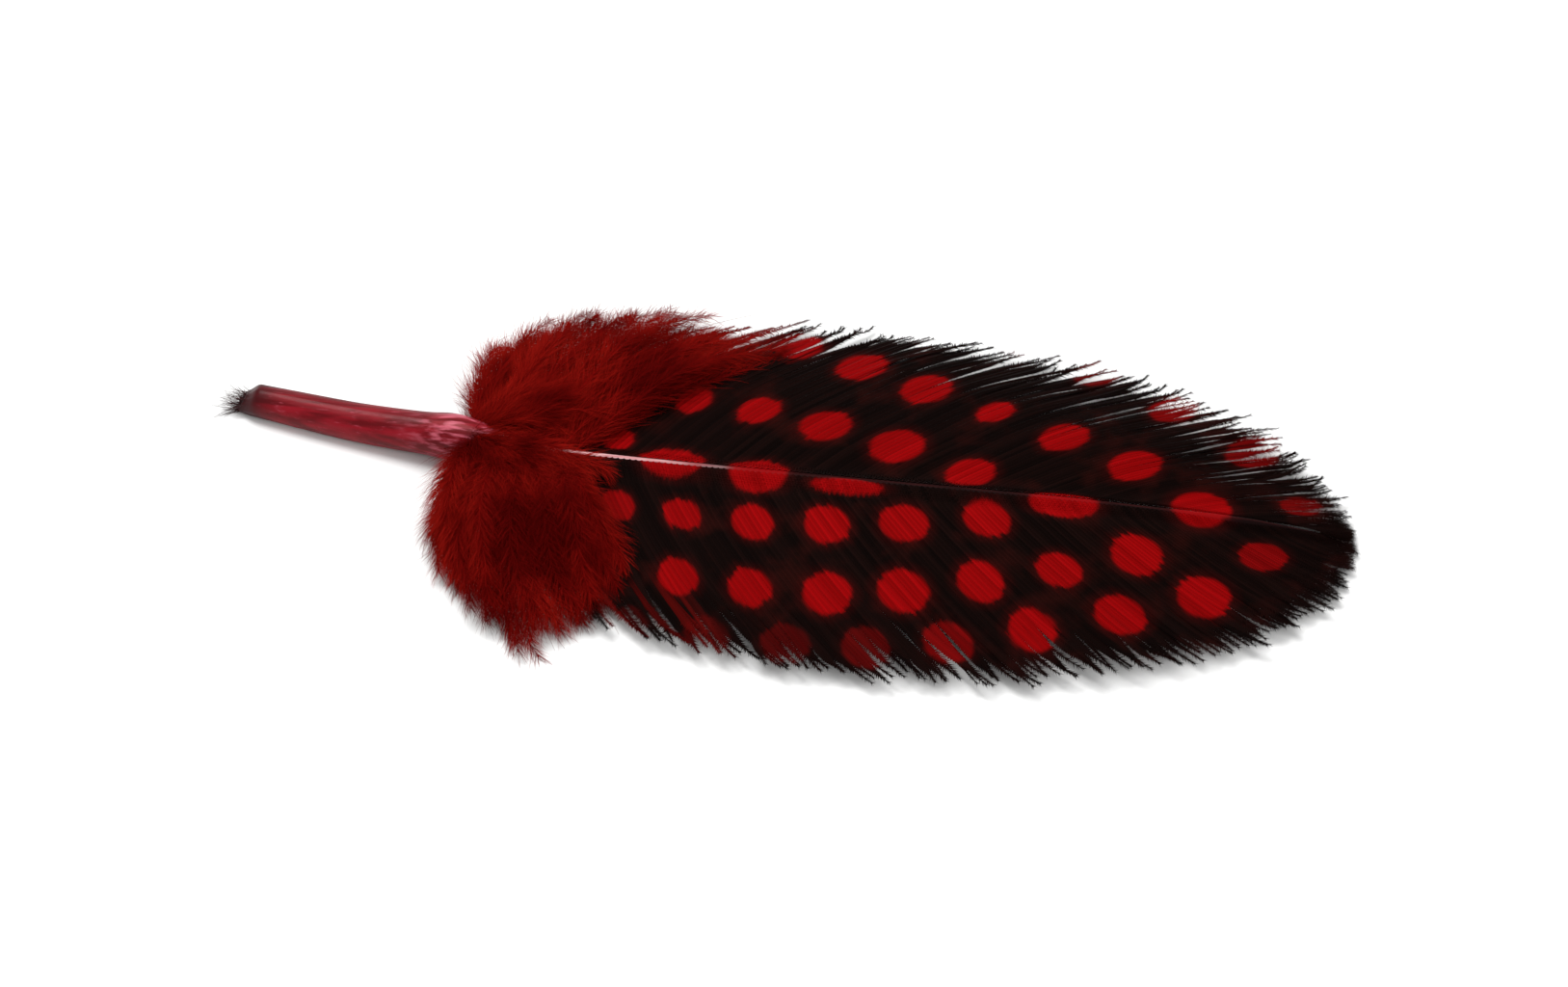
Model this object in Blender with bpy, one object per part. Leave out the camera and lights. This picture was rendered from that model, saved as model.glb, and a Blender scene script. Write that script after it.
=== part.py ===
"""A spotted guinea fowl body feather, lying on a surface with its outer side up.

X runs along the feather from the quill's tip (-X) to the vane's tip (+X), Y runs across it and Z
is up. The origin is on the surface, in the middle of the feather's footprint.
"""

import math
import random

import bmesh
import bpy
from mathutils import Vector

MM = 0.001

# Driving dimensions of the whole feather
LENGTH = 68.0 * MM
CALAMUS = 14.0 * MM
SWEEP = 3.2 * MM
ARCH = 2.4 * MM
SHAFT_LINE = 3.0 * MM
QUILL_TIP_X = -LENGTH / 2
VANE_TIP_X = LENGTH / 2
JUNCTION_X = QUILL_TIP_X + CALAMUS

# The arch of the shaft: where it leaves the surface, and how it rises and falls
ARCH_START_X = JUNCTION_X - 7.0 * MM
ARCH_RISE = 1.5
ARCH_FALL = 1.0

# Outline of the vane, an ellipse about a point beside the shaft
OUTLINE_X = 5.0 * MM
OUTLINE_Y = 0.9 * MM
OUTLINE_A = VANE_TIP_X - OUTLINE_X
OUTLINE_B = 15.2 * MM

# Section of the vane
VANE_THICKNESS = 0.5 * MM
EDGE_TOP = 0.45 * MM
DOME_HALF_WIDTH = 17.0 * MM
DOME_POWER = 1.8

# Locks of the vane
LOCKS_PER_SIDE = 20
VANE_BASE_X = -17.5 * MM
LAST_ROOT_X = 31.0 * MM
BASE_ANGLE = math.radians(58.0)
ANGLE_POWER = 0.45
BARB_BEND = 1.22
LOCK_ROWS = (0.0, 0.22, 0.45, 0.66, 0.84, 1.0)
SPLIT_ROWS = (2, 3, 3, 4, 4)
LOCK_RIDGE = 0.24 * MM
VALLEY_REACH = (0.91, 0.96)
RIDGE_REACH = (0.99, 1.01)
LOCK_GAP = (0.10, 0.24)

# The shaft: its half width at the quill's tip, the junction, the rachis's base and the vane's tip
SHAFT_SIDES = 12
SHAFT_STATIONS = 30
SHAFT_CROWDING = 1.15
SHAFT_END_INSET = 1.0 * MM
QUILL_TIP_RADIUS = 0.92 * MM
QUILL_SWELL = 0.7
JUNCTION_RADIUS = 1.3 * MM
RACHIS_RADIUS = 0.6 * MM
RACHIS_START_X = -14.5 * MM
RACHIS_TIP_RADIUS = 0.22 * MM
QUILL_END_ROUND = 0.7 * MM
QUILL_END_SHARE = 0.6

# Section and course of a lock of down
DOWN_SIDES = 8
DOWN_RINGS = 7
DOWN_FLATNESS = 0.68
DOWN_UNEVENNESS = (0.9, 1.08)
DOWN_CLEARANCE = 0.04 * MM
DOWN_END_SHARE = 0.12
DOWN_SWELL = (0.8, 0.55)
DOWN_BOW = 0.55
DOWN_TURN = 0.86

# Locks of down, in a lower and an upper layer, from the junction to the base of the vane.
# Angles are in degrees. Side 1 is +Y and side -1 is -Y. From the start of the taper on, the locks
# of a side shorten to the last share of their reach.
DOWN_LOCKS = 14
DOWN_HALF_WIDTH = 1.85 * MM
DOWN_WIDTH_SPREAD = (0.88, 1.0)
DOWN_ROOTS = (JUNCTION_X + 1.4 * MM, -12.0 * MM)
DOWN_ANGLES = {1: (108.0, 58.0), -1: (108.0, 70.0)}
DOWN_ANGLE_SPREAD = (-3.0, 3.0)
DOWN_REACH = {1: (7.5 * MM, 16.4 * MM), -1: (9.0 * MM, 17.2 * MM)}
DOWN_REACH_SPREAD = (0.94, 1.0)
DOWN_TAPER_START = 0.55
DOWN_LAST_SHARE = {1: 1.0, -1: 0.62}
DOWN_GROWTH = 2.2
DOWN_GROWTH_POWER = 0.7
DOWN_UPPER_REACH = 0.93
DOWN_LOW_HEIGHTS = (1.3 * MM, 0.3 * MM, 0.9 * MM)
DOWN_TOP_HEIGHTS = (2.1 * MM, 1.5 * MM, 1.4 * MM)

# Short locks of down that close over the shaft: the side and angle of each
CROWN_ROOT_X = JUNCTION_X + 0.4 * MM
CROWN_REACH = 8.0 * MM
CROWN_HALF_WIDTH = 1.5 * MM
CROWN_HEIGHTS = (2.3 * MM, 0.9 * MM, 2.3 * MM)
CROWN_TURNS = ((1, 46.0), (-1, 44.0), (-1, 11.0))

SEED = 7


def mix(a, b, t):
    """The value a share t of the way from a to b."""
    return a + (b - a) * t


def hump(u, rise, fall):
    """A curve that is 0 at u = 0 and u = 1, and 1 at its peak between them."""
    u = min(max(u, 0.0), 1.0)
    peak = rise / (rise + fall)
    return (u / peak) ** rise * ((1.0 - u) / (1.0 - peak)) ** fall


def shaft_radius(x):
    """Half the width of the shaft at x."""
    if x < JUNCTION_X:
        along = (x - QUILL_TIP_X) / CALAMUS
        return mix(QUILL_TIP_RADIUS, JUNCTION_RADIUS, along ** QUILL_SWELL)
    if x < RACHIS_START_X:
        along = (x - JUNCTION_X) / (RACHIS_START_X - JUNCTION_X)
        eased = along * along * (3.0 - 2.0 * along)
        return mix(JUNCTION_RADIUS, RACHIS_RADIUS, eased)
    along = (x - RACHIS_START_X) / (VANE_TIP_X - RACHIS_START_X)
    return mix(RACHIS_RADIUS, RACHIS_TIP_RADIUS, along)


def shaft_y(x):
    """The shaft bends a little sideways between its two ends."""
    return SHAFT_LINE - SWEEP * (1.0 - (x / VANE_TIP_X) ** 2)


def shaft_z(x):
    """Height of the shaft's axis: the quill lies on the surface, and the vane arches over it."""
    lying = shaft_radius(x) * math.cos(math.pi / SHAFT_SIDES)
    along = (x - ARCH_START_X) / (VANE_TIP_X - ARCH_START_X)
    return max(lying, EDGE_TOP) + ARCH * hump(along, ARCH_RISE, ARCH_FALL)


def vane_top(x, y):
    """Height of the vane's upper face: highest along the shaft and down to the surface beside it."""
    across = min(abs(y - shaft_y(x)) / DOME_HALF_WIDTH, 1.0)
    return EDGE_TOP + (shaft_z(x) - EDGE_TOP) * (1.0 - across ** DOME_POWER)


def barb_angle(root_x):
    """Angle between a barb's chord and the shaft: wide at the base, closing in to the tip."""
    left = (LAST_ROOT_X - root_x) / (LAST_ROOT_X - VANE_BASE_X)
    return BASE_ANGLE * max(left, 0.0) ** ANGLE_POWER


def heading(angle, side):
    """Unit vector in plan, turned from the shaft's direction out to one side."""
    return Vector((math.cos(angle), side * math.sin(angle)))


def outline_hit(root, direction):
    """Where a line in plan from the shaft meets the vane's outline."""
    from_centre = Vector(((root.x - OUTLINE_X) / OUTLINE_A, (root.y - OUTLINE_Y) / OUTLINE_B))
    step = Vector((direction.x / OUTLINE_A, direction.y / OUTLINE_B))
    square = step.dot(step)
    half = from_centre.dot(step)
    rest = from_centre.dot(from_centre) - 1.0
    return root + direction * ((math.sqrt(half * half - square * rest) - half) / square)


def bezier(start, control, end, t):
    """Point on a quadratic curve."""
    return start * (1.0 - t) ** 2 + control * (2.0 * t * (1.0 - t)) + end * t ** 2


def barb_point(root_x, side, t):
    """Point in plan on the barb that grows at root_x, from the shaft (t = 0) to the outline (1)."""
    angle = barb_angle(root_x)
    root = Vector((root_x, shaft_y(root_x)))
    end = outline_hit(root, heading(angle, side))
    control = root + heading(angle * BARB_BEND, side) * ((end - root).length / 2)
    return bezier(root, control, end, t)


def new_object(name, vertices, faces):
    """A mesh object with its faces pointing out."""
    mesh = bpy.data.meshes.new(name)
    mesh.from_pydata(vertices, [], faces)
    shape = bmesh.new()
    shape.from_mesh(mesh)
    bmesh.ops.recalc_face_normals(shape, faces=shape.faces)
    shape.to_mesh(mesh)
    shape.free()
    made = bpy.data.objects.new(name, mesh)
    bpy.context.collection.objects.link(made)
    return made


def closed_sheet(name, top, faces, thickness):
    """A sheet of the given upper points, closed by a lower face and walls, not below z = 0."""
    count = len(top)
    bottom = [(x, y, max(z - thickness, 0.0)) for x, y, z in top]
    sides = {}
    for face in faces:
        for a, b in zip(face, face[1:] + face[:1]):
            if (b, a) in sides:
                del sides[(b, a)]
            else:
                sides[(a, b)] = True
    under = [tuple(count + i for i in reversed(face)) for face in faces]
    walls = [(b, a, count + a, count + b) for a, b in sides]
    return new_object(name, list(top) + bottom, list(faces) + under + walls)


def vane_sheet(chance):
    """Both halves of the vane as one sheet of ridged locks that part towards their ends."""
    step = (LAST_ROOT_X - VANE_BASE_X) / LOCKS_PER_SIDE
    points = []
    index = {}

    def vertex(key, root_x, side, t, raised):
        if key not in index:
            plan = barb_point(root_x, side, t)
            index[key] = len(points)
            points.append((plan.x, plan.y, vane_top(plan.x, plan.y) + raised))
        return index[key]

    faces = []
    for side in (1, -1):
        split = [chance.choice(SPLIT_ROWS) for _ in range(LOCKS_PER_SIDE + 1)]
        gap = [chance.uniform(*LOCK_GAP) for _ in range(LOCKS_PER_SIDE + 1)]
        valley = [chance.uniform(*VALLEY_REACH) for _ in range(LOCKS_PER_SIDE + 1)]
        ridge = [chance.uniform(*RIDGE_REACH) for _ in range(LOCKS_PER_SIDE)]

        def edge(line, row, lock):
            """A point on the line between two locks, or on one lock's own side of a parting."""
            t = LOCK_ROWS[row]
            if row == 0:
                return vertex(("shaft", line), VANE_BASE_X + line * step, side, 0.0, 0.0)
            if line == LOCKS_PER_SIDE:
                return vertex(("tip", row), LAST_ROOT_X, side, t, 0.0)
            reach = t * mix(1.0, valley[line], t)
            if row <= split[line] or line == 0:
                return vertex((side, line, row), VANE_BASE_X + line * step, side, reach, 0.0)
            opened = (t - LOCK_ROWS[split[line]]) / (1.0 - LOCK_ROWS[split[line]])
            shift = gap[line] * opened * (1 if lock == line else -1)
            root_x = VANE_BASE_X + (line + shift) * step
            return vertex((side, line, row, lock), root_x, side, reach, 0.0)

        def crest(lock, row):
            """A point on a lock's ridge."""
            root_x = VANE_BASE_X + (lock + 0.5) * step
            if row == 0:
                return vertex(("shaft", lock + 0.5), root_x, side, 0.0, 0.0)
            t = LOCK_ROWS[row] * mix(1.0, ridge[lock], LOCK_ROWS[row])
            return vertex((side, "crest", lock, row), root_x, side, t, LOCK_RIDGE)

        for lock in range(LOCKS_PER_SIDE):
            for row in range(len(LOCK_ROWS) - 1):
                near = [edge(lock, row, lock), crest(lock, row), edge(lock + 1, row, lock)]
                far = [edge(lock, row + 1, lock), crest(lock, row + 1), edge(lock + 1, row + 1, lock)]
                for column in (0, 1):
                    quad = (near[column], near[column + 1], far[column + 1], far[column])
                    faces.append(quad if side > 0 else quad[::-1])
    return closed_sheet("vane sheet", points, faces, VANE_THICKNESS)


def tube(name, rings):
    """A closed tube through rings of equal size, with flat ends."""
    sides = len(rings[0])
    faces = []
    for ring in range(len(rings) - 1):
        for i in range(sides):
            j = (i + 1) % sides
            a = ring * sides
            b = a + sides
            faces.append((a + i, a + j, b + j, b + i))
    last = (len(rings) - 1) * sides
    faces.append(tuple(reversed(range(sides))))
    faces.append(tuple(range(last, last + sides)))
    return new_object(name, [point for ring in rings for point in ring], faces)


def shaft():
    """Quill and rachis in one taper, with a flat side of the quill on the surface."""
    rings = []
    for station in range(SHAFT_STATIONS + 1):
        along = (station / SHAFT_STATIONS) ** SHAFT_CROWDING
        x = mix(QUILL_TIP_X, VANE_TIP_X - SHAFT_END_INSET, along)
        end_share = min((x - QUILL_TIP_X) / QUILL_END_ROUND, 1.0)
        full = shaft_radius(x)
        radius = full * mix(QUILL_END_SHARE, 1.0, end_share)
        centre_z = shaft_z(x) - (full - radius) * math.cos(math.pi / SHAFT_SIDES)
        ring = []
        for i in range(SHAFT_SIDES):
            turn = math.tau * (i + 0.5) / SHAFT_SIDES
            ring.append((x, shaft_y(x) + radius * math.cos(turn), centre_z + radius * math.sin(turn)))
        rings.append(ring)
    return tube("shaft", rings)


def down_lock(root_x, side, degrees, reach, half_width, heights, chance):
    """A soft pointed lock that leaves the shaft, swells and lies out on the surface.

    Its heights are that of its root, the rise in its middle, and that of its end.
    """
    angle = math.radians(degrees)
    root = Vector((root_x, shaft_y(root_x)))
    control = root + heading(angle, side) * (reach * DOWN_BOW)
    end = root + heading(angle * DOWN_TURN, side) * reach
    start_z, lift, end_z = heights
    rings = []
    for station in range(DOWN_RINGS + 1):
        t = station / DOWN_RINGS
        centre = bezier(root, control, end, t)
        ahead = (control - root) * (1.0 - t) + (end - control) * t
        across = Vector((-ahead.y, ahead.x)).normalized()
        swell = hump(mix(DOWN_END_SHARE, 1.0, t), *DOWN_SWELL)
        width = half_width * max(swell, DOWN_END_SHARE)
        depth = width * DOWN_FLATNESS
        centre_z = mix(start_z, end_z, t) + lift * math.sin(math.pi * t)
        centre_z = max(centre_z, depth + DOWN_CLEARANCE)
        ring = []
        for i in range(DOWN_SIDES):
            turn = math.tau * (i + 0.5) / DOWN_SIDES
            uneven = chance.uniform(*DOWN_UNEVENNESS)
            plan = centre + across * (width * uneven * math.cos(turn))
            ring.append((plan.x, plan.y, centre_z + depth * math.sin(turn)))
        rings.append(ring)
    return tube("down lock", rings)


def down_locks(chance):
    """The down on both sides, by turns a lower and an upper lock, and the crown over the shaft."""
    locks = []
    for side in (1, -1):
        for i in range(DOWN_LOCKS):
            along = i / (DOWN_LOCKS - 1)
            upper = i % 2 == 1
            grown = min(along * DOWN_GROWTH, 1.0) ** DOWN_GROWTH_POWER
            reach = mix(*DOWN_REACH[side], grown) * chance.uniform(*DOWN_REACH_SPREAD)
            taper = max(along - DOWN_TAPER_START, 0.0) / (1.0 - DOWN_TAPER_START)
            reach *= mix(1.0, DOWN_LAST_SHARE[side], taper)
            locks.append(down_lock(
                mix(*DOWN_ROOTS, along),
                side,
                mix(*DOWN_ANGLES[side], along) + chance.uniform(*DOWN_ANGLE_SPREAD),
                reach * (DOWN_UPPER_REACH if upper else 1.0),
                DOWN_HALF_WIDTH * chance.uniform(*DOWN_WIDTH_SPREAD),
                DOWN_TOP_HEIGHTS if upper else DOWN_LOW_HEIGHTS,
                chance,
            ))
    for side, degrees in CROWN_TURNS:
        locks.append(down_lock(
            CROWN_ROOT_X, side, degrees, CROWN_REACH, CROWN_HALF_WIDTH, CROWN_HEIGHTS, chance
        ))
    return locks


def union(base, others):
    """Join overlapping solids into one closed body."""
    for other in others:
        join = base.modifiers.new("join", "BOOLEAN")
        join.operation = "UNION"
        join.solver = "EXACT"
        join.object = other
        joined = bpy.data.meshes.new_from_object(
            base.evaluated_get(bpy.context.evaluated_depsgraph_get())
        )
        base.modifiers.remove(join)
        base.data = joined
        bpy.data.objects.remove(other)


def fill_pockets(base):
    """Drop the inner shells that close off air between the locks, so the body is solid there."""
    shape = bmesh.new()
    shape.from_mesh(base.data)
    waiting = set(shape.verts)
    shells = []
    while waiting:
        found = {waiting.pop()}
        fresh = set(found)
        while fresh:
            fresh = {edge.other_vert(vert) for vert in fresh for edge in vert.link_edges} - found
            found |= fresh
        waiting -= found
        shells.append(found)
    shells.sort(key=len)
    inner = [vert for shell in shells[:-1] for vert in shell]
    bmesh.ops.delete(shape, geom=inner, context="VERTS")
    shape.to_mesh(base.data)
    shape.free()


def dyed_feather():
    """Dark red dye over black and white barbs, dull and soft."""
    material = bpy.data.materials.new("dyed feather")
    material.use_nodes = True
    shader = material.node_tree.nodes["Principled BSDF"]
    shader.inputs["Base Color"].default_value = (0.16, 0.008, 0.008, 1.0)
    shader.inputs["Roughness"].default_value = 0.7
    shader.inputs["Metallic"].default_value = 0.0
    return material


def main():
    """Build the feather as one closed solid."""
    for old in list(bpy.data.objects):
        bpy.data.objects.remove(old)
    chance = random.Random(SEED)
    feather = vane_sheet(chance)
    union(feather, [shaft()] + down_locks(chance))
    fill_pockets(feather)
    feather.name = "feather"
    feather.data.name = "feather"
    feather.data.materials.clear()
    feather.data.materials.append(dyed_feather())
    feather.data.shade_smooth()
    feather.data.set_sharp_from_angle(angle=math.radians(35.0))


main()
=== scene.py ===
"""A red guinea fowl feather on a pale floor: quill and shaft, spotted vane and loose down.

Every barb, every branch of the down and the shaft are mesh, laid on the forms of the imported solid.
"""

import math

import bpy
import numpy as np
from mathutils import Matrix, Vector


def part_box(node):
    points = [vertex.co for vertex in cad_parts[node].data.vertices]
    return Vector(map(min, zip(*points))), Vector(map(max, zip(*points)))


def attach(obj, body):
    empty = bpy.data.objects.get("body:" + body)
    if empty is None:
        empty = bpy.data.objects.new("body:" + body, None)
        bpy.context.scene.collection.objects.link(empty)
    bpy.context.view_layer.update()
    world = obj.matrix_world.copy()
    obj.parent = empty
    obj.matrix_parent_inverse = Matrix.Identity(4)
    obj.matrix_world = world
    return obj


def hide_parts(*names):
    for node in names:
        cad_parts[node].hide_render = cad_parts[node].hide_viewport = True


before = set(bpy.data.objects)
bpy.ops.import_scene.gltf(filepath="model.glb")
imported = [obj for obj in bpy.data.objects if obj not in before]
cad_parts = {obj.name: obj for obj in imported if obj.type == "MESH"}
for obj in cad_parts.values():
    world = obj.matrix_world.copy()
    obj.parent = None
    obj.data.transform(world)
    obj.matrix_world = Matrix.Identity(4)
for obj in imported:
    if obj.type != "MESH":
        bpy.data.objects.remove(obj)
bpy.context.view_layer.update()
LOW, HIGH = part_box("feather")

MM = 0.001
SIDES = {"left": 1, "right": -1}
CHART_NAME = "OFBake"

# Forms of the solid, which the finer pieces follow
QUILL_TIP_X = LOW.x
VANE_TIP_X = -LOW.x
CALAMUS = 14.0 * MM
JUNCTION_X = QUILL_TIP_X + CALAMUS
SWEEP = 3.2 * MM
SHAFT_LINE = 3.0 * MM
ARCH = 2.4 * MM
ARCH_START_X = JUNCTION_X - 7.0 * MM
EDGE_TOP = 0.45 * MM
EDGE_SINK = 0.22 * MM
SHOULDER = 0.025 * MM
SHOULDER_WIDTH = 2.6
WAVE = 0.1 * MM
WAVE_X = 3.1 * MM
WAVE_Y = 2.3 * MM
QUILL_TIP_RADIUS = 0.92 * MM
QUILL_SWELL = 0.7
JUNCTION_RADIUS = 1.3 * MM
RACHIS_RADIUS = 0.6 * MM
RACHIS_START_X = -14.5 * MM
RACHIS_TIP_RADIUS = 0.22 * MM
OUTLINE_X = 5.0 * MM
OUTLINE_Y = 0.9 * MM
OUTLINE_A = VANE_TIP_X - OUTLINE_X
OUTLINE_B = 15.2 * MM
DOME_HALF_WIDTH = 17.0 * MM
DOME_POWER = 1.8
VANE_BASE_X = -17.5 * MM
LAST_ROOT_X = 31.0 * MM
BASE_ANGLE = math.radians(58.0)
ANGLE_POWER = 0.45
BARB_BEND = 1.22

# Barbs of the vane: how they are spaced along the shaft and stepped along themselves
BARB_SPACING = 0.3 * MM
TIP_CROWDING = 1.25
BARB_STEPS = 100
BARB_CROWDING = 1.35
ROOT_OFFSET = 0.17 * MM
ROOT_MARGIN = 0.05 * MM
SHORTEST_BARB = 0.4 * MM
FLOOR_GAP = 0.05 * MM
# Distances from the shaft between which barbs rise from flat to their full relief
SHAFT_ZONE = (0.5 * MM, 2.0 * MM)
# Barbs rooted past the first x are neat, and those rooted before the second are loose
LOOSE_ROOTS = (-11.0 * MM, -15.5 * MM)

# Widths of a barb: its ramus from root to end, half the barb as a share of the room near the shaft
# and past it, what is left of that at a frayed end and at the root, how far its edges lie below
# the ramus, and its hairy end's length in millimetres
RAMUS_RADIUS = (0.05 * MM, 0.009 * MM)
NARROWEST_SPACING = 0.05 * MM
WIDEST_HALF = 0.3 * MM
HALF_SHARE = (0.72, 0.68)
HAIR_SHARE = 0.12
ROOT_SHARE = 0.78
ROOT_TAPER = 0.25 * MM
EDGE_SINKS = (0.05 * MM, 0.012 * MM)
HAIRY_END = (1.4, 3.4)
BARBULE_LIFT = 0.05 * MM

# Locks of barbs: how many barbs, how long the parting is in millimetres, and how they lie
LOCK_BARBS = (6, 13)
LOCK_SPLIT = (0.7, 2.0)
DEEP_SPLIT_SHARE = 0.08
DEEP_SPLIT = (1.0, 3.0)
LOCK_SQUEEZE = (0.02, 0.12)
LOCK_SWAY = 0.15 * MM
LOCK_LIFT = 0.12 * MM
LOCK_ARCH = 0.08 * MM
LOCK_POINT = 0.03

# How single barbs differ: reach as a share of their length, sway and lift in millimetres
REACH_SPREAD = 0.016
BARB_SWAY = (0.34, 0.7)
BARB_LIFT = 0.08
STRAY_SHARE = 0.16
STRAY_REACH = (-0.02, 0.05)
STRAY_SWAY = 0.6 * MM
STRAY_LIFT = (-0.1, 0.4)

# Marks on the barbs: unevenness of spots and of the red base, and the barbs near the base whose
# outer ends are dyed a dull red
SPOT_NUDGE = 0.08 * MM
DOWN_EDGE_SPREAD = 0.7 * MM
DYED_SHARE = 0.35
DYED_ROOTS = (-9.5 * MM, -11.5 * MM)
DYED_LENGTH = (7.0 * MM, 4.0 * MM)
DYED_STRENGTH = 0.42
# Crest mark for all of a barb near the shaft, where the painted ramus highlight and edge shade even out
CREST_AT_SHAFT = 0.24

# Rows of spots on each side: first x, pitch, gain in pitch at each step, how many, and the
# distance from the shaft as a height, a slope and a bend against x, all in millimetres. Last, the
# spots of the row that are smaller than their neighbours, and by how much
SPOT_ROWS = {
    1: (
        (-6.6, 4.0, 0.3, 5, (5.6, -0.215, -0.0119), {}),
        (-1.4, 4.2, 0.1, 6, (13.1, -0.45, 0.0), {3: -0.9}),
        (12.2, 4.9, 0.2, 4, (24.6, -0.66, 0.0), {}),
    ),
    -1: (
        (-9.4, 4.0, 0.2, 6, (3.7, -0.05, -0.007), {}),
        (-4.8, 4.4, 0.0, 7, (8.8, 0.0, -0.0113), {5: -0.6}),
        (-6.9, 4.65, 0.0, 8, (12.6, 0.0, -0.0095), {}),
    ),
}
# The right side's row beyond this distance from the shaft, in millimetres, is dim near the base
OUTER_ROW = 12.0
# Spots outside the rows, most of them on the shaft: x, distance to the left of the shaft, length
# along the shaft and width in millimetres
LONE_SPOTS = (
    (-10.5, 2.2, 1.9, 2.0),
    (-6.8, 0.4, 3.9, 2.6),
    (-1.5, 0.0, 3.5, 2.7),
    (3.9, -0.5, 4.3, 0.9),
    (16.7, -0.3, 4.0, 1.8),
    (24.7, 0.7, 3.5, 3.0),
    (28.7, -2.6, 2.8, 2.3),
    (30.4, 2.2, 2.4, 1.6),
)
SPOT_HALF_LENGTH = (1.25 * MM, 1.65 * MM)
SPOT_HALF_WIDTH = (0.95 * MM, 1.38 * MM)

# Where the red of the down gives way to the black vane: distances from the shaft, and x at each of
# them, in millimetres
DOWN_EDGE = {
    1: ((0.0, 4.0, 10.0, 14.0, 18.0), (-13.5, -11.0, -6.5, -3.5, -1.0)),
    -1: ((0.0, 4.0, 8.5, 11.0, 16.0), (-13.5, -11.5, -8.8, -10.6, -10.0)),
}

# The shaft's mesh, and the broken end of the quill: how deep each ring of its mouth lies in
# millimetres, with its size as a share of the rim's
SHAFT_STATIONS = 220
SHAFT_SIDES = 32
SHAFT_CROWDING = 1.25
SHAFT_END_X = VANE_TIP_X - 1.0 * MM
SHAFT_THINS_X = VANE_TIP_X - 7.0 * MM
QUILL_MOUTH = ((0.02, 0.86), (0.25, 0.78), (1.2, 0.7), (2.2, 0.35), (2.5, 0.02))
QUILL_SHREDS = 220
QUILL_SHRED_WIDTH = 0.045 * MM
QUILL_SHRED_LENGTH = (0.4, 1.7)

# Down: threads and tufts a side, and fine branches a thread. Roots, angles in degrees and reach run
# from the junction to the vane, and past the start of the taper a side's threads shorten to their
# last share. Radii are in millimetres, from root to end
DOWN_BARBS = 66
DOWN_TUFTS = 8
DOWN_BRANCHES = 440
FIRST_BRANCH = 0.02
DOWN_ROOTS = (JUNCTION_X + 0.9 * MM, -12.6 * MM)
DOWN_ANGLES = {1: (107.0, 54.0), -1: (108.0, 70.0)}
DOWN_REACH = {1: (7.5 * MM, 17.5 * MM), -1: (9.0 * MM, 17.2 * MM)}
DOWN_TAPER_START = 0.55
DOWN_LAST_SHARE = {1: 1.0, -1: 0.62}
DOWN_STEPS = 24
DOWN_THREAD_RADII = (0.045, 0.01)
THREAD_SIDES = 3
DOWN_BRANCH_LENGTH = 2.5 * MM
DOWN_BRANCH_WIDTH = 0.028 * MM
DOWN_BRANCH_ROLL = 0.75

# Single hairs that reach past the tufts, and short threads that close over the shaft, in degrees
# and millimetres
DOWN_HAIRS = 26
DOWN_HAIR_RADII = (0.03, 0.008)
DOWN_HAIR_EXTRA = 0.16
DOWN_HAIR_LIFT = 0.5 * MM
CROWN_BARBS = 16
CROWN_ANGLES = (14.0, 66.0)
CROWN_REACH = (5.0, 8.5)

# Bands of the down's texture, from one height to another: flat threads, round ones and hairs
STRIP_BAND = (0.0, 0.9)
THREAD_BAND = (0.905, 0.95)
HAIR_BAND = (0.955, 1.0)

# Studio: the plain surround, and the photograph's viewing angles in degrees
SURROUND_STRENGTH = 0.62
VIEW_AZIMUTH = 10.1
VIEW_ELEVATION = 43.0
VIEW_DISTANCE = 0.35
VIEW_AIM = (0.0, 0.0, 0.0012)
VIEW_LENS = 135.0


def mix(a, b, t):
    """The value a share t of the way from a to b."""
    return a + (b - a) * t


def smooth(low, high, value):
    """0 below low, 1 above high, and an eased step between them."""
    t = np.clip((value - low) / (high - low), 0.0, 1.0)
    return t * t * (3.0 - 2.0 * t)


def hump(u, rise, fall):
    """A curve that is 0 at u = 0 and u = 1, and 1 at its peak between them."""
    u = np.clip(u, 0.0, 1.0)
    peak = rise / (rise + fall)
    return (u / peak) ** rise * ((1.0 - u) / (1.0 - peak)) ** fall


def shaft_radius(x):
    """Half the width of the shaft at x."""
    x = np.asarray(x, float)
    quill = np.clip((x - QUILL_TIP_X) / CALAMUS, 0.0, 1.0) ** QUILL_SWELL
    neck = smooth(JUNCTION_X, RACHIS_START_X, x)
    rachis = np.clip((x - RACHIS_START_X) / (VANE_TIP_X - RACHIS_START_X), 0.0, 1.0)
    return np.select(
        [x < JUNCTION_X, x < RACHIS_START_X],
        [mix(QUILL_TIP_RADIUS, JUNCTION_RADIUS, quill), mix(JUNCTION_RADIUS, RACHIS_RADIUS, neck)],
        mix(RACHIS_RADIUS, RACHIS_TIP_RADIUS, rachis),
    )


def shaft_y(x):
    """The shaft bends a little sideways between its two ends."""
    return SHAFT_LINE - SWEEP * (1.0 - (x / VANE_TIP_X) ** 2)


def shaft_z(x):
    """Height of the shaft's axis."""
    along = (x - ARCH_START_X) / (VANE_TIP_X - ARCH_START_X)
    return np.maximum(shaft_radius(x), EDGE_TOP) + ARCH * hump(along, 1.5, 1.0)


def vane_top(x, y):
    """Height of the vane's upper face."""
    across = np.minimum(np.abs(y - shaft_y(x)) / DOME_HALF_WIDTH, 1.0)
    return EDGE_TOP + (shaft_z(x) - EDGE_TOP) * (1.0 - across ** DOME_POWER)


def outline_depth(x, y):
    """About how far inside the vane's outline a point lies."""
    return (1.0 - np.hypot((x - OUTLINE_X) / OUTLINE_A, (y - OUTLINE_Y) / OUTLINE_B)) * OUTLINE_B


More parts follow.
